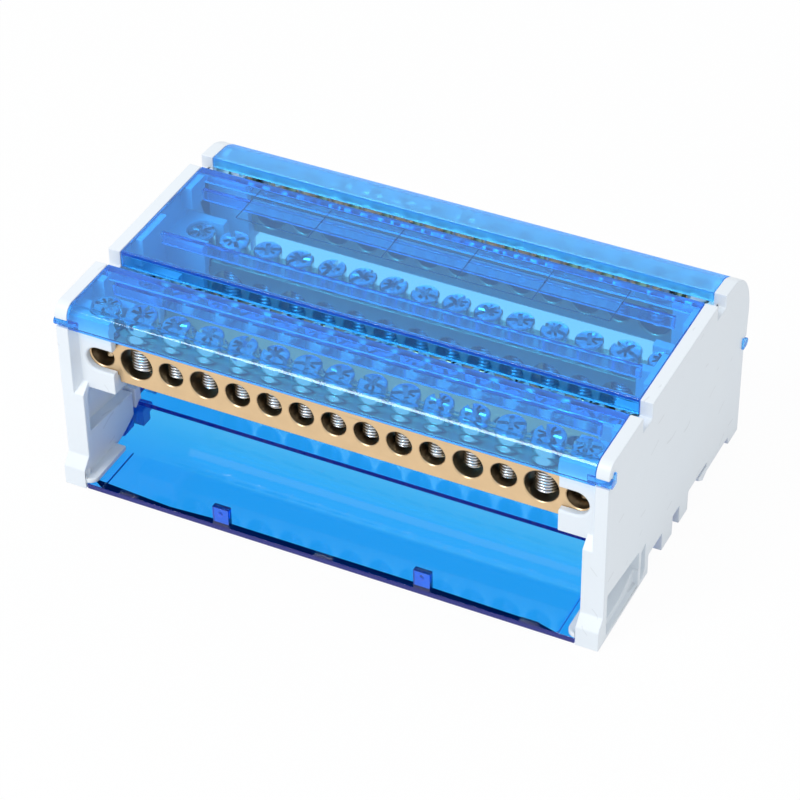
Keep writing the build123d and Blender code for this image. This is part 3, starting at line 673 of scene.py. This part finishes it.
def screw_tree():
    """One threaded screw with a slotted cross head, set at every point of the mesh it is given."""
    tree, given, result = new_group(
        "Clamp screws",
        "GeometryNodeTree",
        [
            ("Geometry", "NodeSocketGeometry", None),
            ("Shank Radius", "NodeSocketFloat", 0.0025),
            ("Shank Length", "NodeSocketFloat", 0.0085),
            ("Thread Pitch", "NodeSocketFloat", 0.0008),
            ("Thread Depth", "NodeSocketFloat", 0.0004),
            ("Head Radius", "NodeSocketFloat", 0.0033),
            ("Head Height", "NodeSocketFloat", 0.0044),
            ("Recess Width", "NodeSocketFloat", 0.0009),
            ("Recess Depth", "NodeSocketFloat", 0.0017),
            ("Point Radius", "NodeSocketFloat", 0.0012),
            ("Point Length", "NodeSocketFloat", 0.0),
            ("Seed", "NodeSocketInt", 7),
            ("Material", "NodeSocketMaterial", None),
        ],
        [("Geometry", "NodeSocketGeometry", None)],
    )
    value = given.outputs
    place = add_node(tree, "GeometryNodeInputPosition").outputs[0]
    part = add_node(tree, "ShaderNodeSeparateXYZ", {0: place}).outputs
    flat = add_node(tree, "ShaderNodeCombineXYZ", {"X": part["X"], "Y": part["Y"]}).outputs[0]
    outwards = add_node(tree, "ShaderNodeVectorMath", {0: flat}, operation="NORMALIZE").outputs[0]

    def pulled_in(geometry, amount):
        """Move each point towards the screw's axis."""
        inwards = calculate(tree, "MULTIPLY", amount, -1.0)
        back = add_node(tree, "ShaderNodeVectorMath", {0: outwards, "Scale": inwards}, operation="SCALE")
        inputs = {"Geometry": geometry, "Offset": back.outputs[0]}
        return add_node(tree, "GeometryNodeSetPosition", inputs).outputs[0]

    def moved(geometry, down, turn=0.0, tilt=0.0):
        """Lower a part along the axis, tilt it about its own length and turn it about the axis."""
        offset = add_node(tree, "ShaderNodeCombineXYZ", {"Z": calculate(tree, "MULTIPLY", down, -1.0)})
        inputs = {"Geometry": geometry, "Translation": offset.outputs[0]}
        node = add_node(tree, "GeometryNodeTransform", inputs)
        node.inputs["Rotation"].default_value = (tilt, 0, turn)
        return node.outputs[0]

    def cutter(across, width, deep, turn, tilt):
        """A bar that cuts one groove across the head; tilted by an eighth of a turn, it cuts a V."""
        size = add_node(
            tree,
            "ShaderNodeCombineXYZ",
            {
                "X": calculate(tree, "MULTIPLY", value["Head Radius"], across),
                "Y": calculate(tree, "MULTIPLY", value["Recess Width"], width),
                "Z": calculate(tree, "MULTIPLY", value["Recess Depth"], deep * 2),
            },
        )
        bar = add_node(tree, "GeometryNodeMeshCube", {"Size": size.outputs[0]})
        return moved(bar.outputs["Mesh"], 0.0, turn, tilt)

    head = add_node(
        tree,
        "GeometryNodeMeshCylinder",
        {
            "Vertices": 40,
            "Side Segments": 12,
            "Radius": value["Head Radius"],
            "Depth": value["Head Height"],
        },
    )
    head = moved(head.outputs["Mesh"], calculate(tree, "MULTIPLY", value["Head Height"], 0.5))
    rim = calculate(tree, "MAXIMUM", calculate(tree, "ADD", part["Z"], HEAD_ROUNDING), 0.0)
    head = pulled_in(head, rim)
    for groove in HEAD_GROOVES:
        cut = add_node(tree, "GeometryNodeMeshBoolean", operation="DIFFERENCE")
        tree.links.new(head, cut.inputs["Mesh 1"])
        tree.links.new(cutter(*groove), cut.inputs["Mesh 2"])
        head = cut.outputs[0]
    turns = calculate(tree, "DIVIDE", value["Shank Length"], value["Thread Pitch"])
    shank = add_node(
        tree,
        "GeometryNodeMeshCylinder",
        {
            "Vertices": 24,
            "Side Segments": calculate(tree, "MULTIPLY", turns, ROWS_PER_TURN),
            "Radius": value["Shank Radius"],
            "Depth": value["Shank Length"],
        },
    )
    half = calculate(tree, "MULTIPLY", value["Shank Length"], 0.5)
    shank = moved(shank.outputs["Mesh"], calculate(tree, "ADD", value["Head Height"], half))
    along = calculate(tree, "SUBTRACT", calculate(tree, "MULTIPLY", part["Z"], -1.0), value["Head Height"])
    turn = calculate(tree, "DIVIDE", calculate(tree, "ARCTAN2", part["Y"], part["X"]), tau)
    rise = calculate(tree, "DIVIDE", part["Z"], value["Thread Pitch"])
    phase = calculate(tree, "FRACT", calculate(tree, "SUBTRACT", rise, turn))
    slope = calculate(tree, "SUBTRACT", calculate(tree, "MULTIPLY", phase, 2.0), 1.0)
    slope = calculate(tree, "ABSOLUTE", slope)
    groove = calculate(tree, "DIVIDE", calculate(tree, "SUBTRACT", slope, CREST_SHARE), 1.0 - CREST_SHARE)
    groove = calculate(tree, "MULTIPLY", calculate(tree, "MAXIMUM", groove, 0.0), value["Thread Depth"])
    start = calculate(tree, "SUBTRACT", value["Shank Length"], value["Point Length"])
    slim = calculate(tree, "GREATER_THAN", along, calculate(tree, "ADD", start, 0.00001))
    step = calculate(tree, "SUBTRACT", value["Shank Radius"], value["Point Radius"])
    narrowing = calculate(tree, "MULTIPLY", slim, step)
    threaded = calculate(tree, "MULTIPLY", groove, calculate(tree, "SUBTRACT", 1.0, slim))
    # Painted shade for the thread's roots, stored as the groove attribute: how deep each point lies in the
    # groove
    shade = calculate(tree, "DIVIDE", threaded, value["Thread Depth"])
    marked = {"Geometry": shank, "Name": "groove", "Value": shade}
    shank = add_node(tree, "GeometryNodeStoreNamedAttribute", marked, data_type="FLOAT").outputs[0]
    shank = pulled_in(shank, calculate(tree, "ADD", narrowing, threaded))
    bevel_start = calculate(tree, "SUBTRACT", value["Shank Length"], TIP_BEVEL)
    near_tip = calculate(tree, "SUBTRACT", along, bevel_start)
    shank = pulled_in(shank, calculate(tree, "MAXIMUM", near_tip, 0.0))
    whole = add_node(tree, "GeometryNodeJoinGeometry")
    tree.links.new(shank, whole.inputs[0])
    tree.links.new(head, whole.inputs[0])
    spin = add_node(tree, "FunctionNodeRandomValue", {"Seed": value["Seed"]}, data_type="FLOAT")
    spin.inputs[3].default_value = tau
    angles = add_node(tree, "ShaderNodeCombineXYZ", {"Z": spin.outputs[1]})
    rotation = add_node(tree, "FunctionNodeEulerToRotation", {0: angles.outputs[0]})
    placed = add_node(
        tree,
        "GeometryNodeInstanceOnPoints",
        {"Points": value["Geometry"], "Instance": whole.outputs[0], "Rotation": rotation.outputs[0]},
    )
    real = add_node(tree, "GeometryNodeRealizeInstances", {0: placed.outputs[0]})
    inputs = {"Geometry": real.outputs[0], "Material": value["Material"]}
    coated = add_node(tree, "GeometryNodeSetMaterial", inputs)
    tree.links.new(coated.outputs[0], result.inputs[0])
    return tree


def set_input(modifier, name, value):
    """Set one of a Geometry Nodes modifier's inputs by the identifier of the socket with that name."""
    for socket in modifier.node_group.interface.items_tree:
        if socket.name == name and socket.in_out == "INPUT":
            modifier[socket.identifier] = value
            return
    raise KeyError(name)


def screw_places(row):
    """Distances of the clamp, large and end screws from the middle of a bar, in metres."""
    low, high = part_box(row + "_bar")
    end = high.x - END_INSET
    large = end - LARGE_STEP
    outside = large - OUTSIDE_STEP
    medium = outside - MEDIUM_STEP
    pitch = (medium - MEDIUM_STEP) / 3
    inner = [i * pitch for i in range(-3, 4)]
    return {
        "clamp": inner + [-outside, outside, -medium, medium],
        "large": [-large, large],
        "end": [-end, end],
    }


def screw_set(row, kind, xs, seed):
    """All of one kind of screw along one bar."""
    sizes = bpy.context.scene.block_sizes
    node = f"{row}_{kind}_screws"
    low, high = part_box(node)
    bar_low, bar_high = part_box(row + "_bar")
    points = bpy.data.meshes.new(node + "_points")
    points.from_pydata([(x, (bar_low.y + bar_high.y) / 2, high.z) for x in xs], [], [])
    builder = bpy.data.objects.new(node + "_points", points)
    bpy.context.scene.collection.objects.link(builder)
    modifier = builder.modifiers.new("Screws", "NODES")
    modifier.node_group = bpy.data.node_groups.get("Clamp screws") or screw_tree()
    diameter = sizes.large_diameter if kind == "large" else sizes.screw_diameter
    values = {
        "Shank Radius": diameter / 2,
        "Shank Length": high.z - low.z - sizes.head_height,
        "Thread Pitch": sizes.thread_pitch,
        "Thread Depth": sizes.thread_depth,
        "Head Radius": (high.y - low.y) / 2,
        "Head Height": sizes.head_height,
        "Recess Width": sizes.recess_width,
        "Recess Depth": sizes.recess_depth,
        "Point Radius": sizes.point_diameter / 2,
        "Point Length": sizes.point_length if kind == "end" else 0.0,
        "Seed": seed,
        "Material": finish("zinc"),
    }
    for name, value in values.items():
        set_input(modifier, name, value)
    mesh = plain_mesh(builder)
    mesh.name = node + "_threaded"
    mesh.shade_smooth()
    mesh.set_sharp_from_angle(angle=SCREW_SMOOTH_ANGLE)
    return add_piece(node + "_threaded", mesh, frame["nodes"][node]["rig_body"], (node,))


# The studio


def floor_finish(colours):
    """Pale floor that shows white to the camera and in reflections, and keeps a soft shadow."""
    material, tree, output = new_material("studio floor")
    surface = effect(tree, "Moulded surface")
    plain = Vector(colours.floor)
    matt = add_node(
        tree,
        "ShaderNodeBsdfDiffuse",
        {"Color": tint(tree, plain * 0.99, plain, surface.outputs["Mottle"])},
    )
    bright = add_node(tree, "ShaderNodeEmission", {"Color": (1, 1, 1, 1), "Strength": 1.0})
    path = add_node(tree, "ShaderNodeLightPath").outputs
    direct = calculate(tree, "MAXIMUM", path["Is Glossy Ray"], path["Is Camera Ray"])
    seen = calculate(tree, "MULTIPLY", direct, FLOOR_SEEN)
    through = calculate(tree, "MULTIPLY", path["Is Transmission Ray"], FLOOR_THROUGH)
    share = calculate(tree, "MAXIMUM", seen, through)
    both = add_node(tree, "ShaderNodeMixShader", {0: share, 1: matt.outputs[0], 2: bright.outputs[0]})
    tree.links.new(both.outputs[0], output.inputs["Surface"])
    return material


def sky(studio):
    """Even light from all round, which shows white to the camera and through glass."""
    world = bpy.data.worlds.new("studio")
    world.use_nodes = True
    tree = world.node_tree
    tree.nodes.clear()
    even = add_node(tree, "ShaderNodeBackground", {"Color": (0.96, 0.98, 1.0, 1), "Strength": studio.sky})
    white = add_node(tree, "ShaderNodeBackground", {"Color": (1, 1, 1, 1), "Strength": 1.0})
    path = add_node(tree, "ShaderNodeLightPath").outputs
    seen = calculate(tree, "MAXIMUM", path["Is Camera Ray"], path["Is Transmission Ray"])
    both = add_node(tree, "ShaderNodeMixShader", {0: seen, 1: even.outputs[0], 2: white.outputs[0]})
    add_node(tree, "ShaderNodeOutputWorld", {"Surface": both.outputs[0]})
    return world


def floor_mesh(colours):
    """A wide square just under the block's feet."""
    mesh = bpy.data.meshes.new("floor")
    low, high = -FLOOR_REACH, FLOOR_REACH
    corners = [(x, y, FLOOR_LEVEL) for x, y in ((low, low), (high, low), (high, high), (low, high))]
    mesh.from_pydata(corners, [], [(0, 1, 2, 3)])
    mesh.materials.append(floor_finish(colours))
    return mesh


def key_lamp(studio):
    """A square soft lamp that points at its target."""
    data = bpy.data.lights.new("key lamp", "AREA")
    data.size = studio.key_size
    data.energy = studio.key
    light = bpy.data.objects.new("key lamp", data)
    light.location = studio.key_place
    aim = Vector(studio.key_target) - Vector(studio.key_place)
    light.rotation_euler = aim.to_track_quat("-Z", "Y").to_euler()
    return light


def camera_axes(studio):
    """Right, up and back directions of the camera."""
    azimuth, elevation, roll = studio.azimuth, studio.elevation, studio.roll
    back = Vector((sin(azimuth) * cos(elevation), -cos(azimuth) * cos(elevation), sin(elevation)))
    right = Vector((cos(azimuth), sin(azimuth), 0))
    up = back.cross(right)
    return cos(roll) * right + sin(roll) * up, -sin(roll) * right + cos(roll) * up, back


def studio_camera(studio):
    """The camera in its place, turned to the block."""
    data = bpy.data.cameras.new("camera")
    data.lens = studio.lens
    data.sensor_width = 36
    data.clip_start = 0.01
    camera = bpy.data.objects.new("camera", data)
    turn = Matrix(camera_axes(studio)).transposed()
    camera.matrix_world = Matrix.Translation(studio.place) @ turn.to_4x4()
    return camera


# Operators, one for each piece or group of like pieces


class EndPlates(bpy.types.Operator):
    """Round the edges of both end plates and give them white plastic"""

    bl_idname = "terminal_block.end_plates"
    bl_label = "End plates"

    def execute(self, context):
        for node in PLATES:
            eased(node, context.scene.block_sizes.plate_edge, "white_plastic")
        return {"FINISHED"}


class Covers(bpy.types.Operator):
    """Round the edges of the three covers and give them clear blue plastic"""

    bl_idname = "terminal_block.covers"
    bl_label = "Covers"

    def execute(self, context):
        edge = context.scene.block_sizes.cover_edge
        for node, look in COVERS.items():
            eased(node, edge, "blue_plastic", COVER_LEAST_EDGE, look)
        return {"FINISHED"}


class PrintedTable(bpy.types.Operator):
    """Lay the printed table's lines, and a pale film over its middle row, against the underside of the
    middle cover
    """

    bl_idname = "terminal_block.printed_table"
    bl_label = "Printed table"

    def execute(self, context):
        sizes = context.scene.block_sizes
        low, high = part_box("middle_cover")
        top = high.z - sizes.cover_wall - PRINT_FILM
        right = TABLE_COLUMNS * sizes.cell_width / 2
        columns = [i * sizes.cell_width - right for i in range(TABLE_COLUMNS + 1)]
        rows = [low.y + rise for rise in TABLE_ROWS]
        half = sizes.line_width / 2
        lines = [(x - half, x + half, rows[0], rows[-1]) for x in columns]
        lines += [(-right, right, y - half, y + half) for y in rows]
        body = frame["nodes"]["middle_cover"]["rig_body"]
        print_layer("printed_lines", lines, top, "ink", body)
        ground = (-right, right, rows[1], rows[2])
        # A pale, partly see-through film over the table's middle row
        print_layer("pale_band", [ground], top - 1.5 * PRINT_FILM, "label", body)
        return {"FINISHED"}


class BaseTray(bpy.types.Operator):
    """Round the edges of the tray and give it clear blue plastic"""

    bl_idname = "terminal_block.base_tray"
    bl_label = "Base tray"

    def execute(self, context):
        eased("base_tray", context.scene.block_sizes.cover_edge, "blue_plastic", look="blue_tray")
        return {"FINISHED"}


class Bars(bpy.types.Operator):
    """Round the edges of the four bars and give them drawn brass"""

    bl_idname = "terminal_block.bars"
    bl_label = "Bars"

    def execute(self, context):
        for row in ROWS:
            piece = eased(row + "_bar", context.scene.block_sizes.bar_edge, "brass")
            mark_bore_shade(piece.data, *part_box(row + "_bar"))
        return {"FINISHED"}


class ClampScrews(bpy.types.Operator):
    """Set threaded zinc screws along the four bars"""

    bl_idname = "terminal_block.clamp_screws"
    bl_label = "Clamp screws"

    def execute(self, context):
        seed = context.scene.block_sizes.seed
        for row in ROWS:
            for kind, xs in screw_places(row).items():
                screw_set(row, kind, xs, seed)
                seed += 1
        return {"FINISHED"}


class Studio(bpy.types.Operator):
    """Add the floor, the sky, the lamp and the camera at the photograph's angle"""

    bl_idname = "terminal_block.studio"
    bl_label = "Studio"

    def execute(self, context):
        scene = context.scene
        studio = scene.block_studio
        floor = bpy.data.objects.new("floor", floor_mesh(scene.block_colours))
        camera = studio_camera(studio)
        for thing in (floor, key_lamp(studio), camera):
            scene.collection.objects.link(thing)
        scene.world = sky(studio)
        scene.camera = camera
        scene.view_settings.view_transform = "Standard"
        return {"FINISHED"}


OPERATORS = (EndPlates, Covers, PrintedTable, BaseTray, Bars, ClampScrews, Studio)
SETTINGS = (("block_sizes", BlockSizes), ("block_colours", BlockColours), ("block_studio", StudioSettings))


class BlockPanel(bpy.types.Panel):
    """Lists the pieces, sizes and colours of the terminal block"""

    bl_idname = "VIEW3D_PT_terminal_block"
    bl_label = "Terminal block"
    bl_space_type = "VIEW_3D"
    bl_region_type = "UI"
    bl_category = "Terminal Block"

    def draw(self, context):
        for operator in OPERATORS:
            self.layout.operator(operator.bl_idname)
        for name, group in SETTINGS:
            box = self.layout.box()
            for field in group.__annotations__:
                box.prop(getattr(context.scene, name), field)


CLASSES = (BlockSizes, BlockColours, StudioSettings, *OPERATORS, BlockPanel)


def register():
    """Add the settings, operators and panel to the session."""
    for kind in CLASSES:
        bpy.utils.register_class(kind)
    for name, group in SETTINGS:
        setattr(bpy.types.Scene, name, PointerProperty(type=group))


def unregister():
    """Take them out again."""
    for name, group in SETTINGS:
        delattr(bpy.types.Scene, name)
    for kind in reversed(CLASSES):
        bpy.utils.unregister_class(kind)


def main():
    """Register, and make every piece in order."""
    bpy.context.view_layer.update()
    register()
    for operator in OPERATORS:
        group, name = operator.bl_idname.split(".")
        getattr(getattr(bpy.ops, group), name)()


if __name__ == "__main__":
    main()
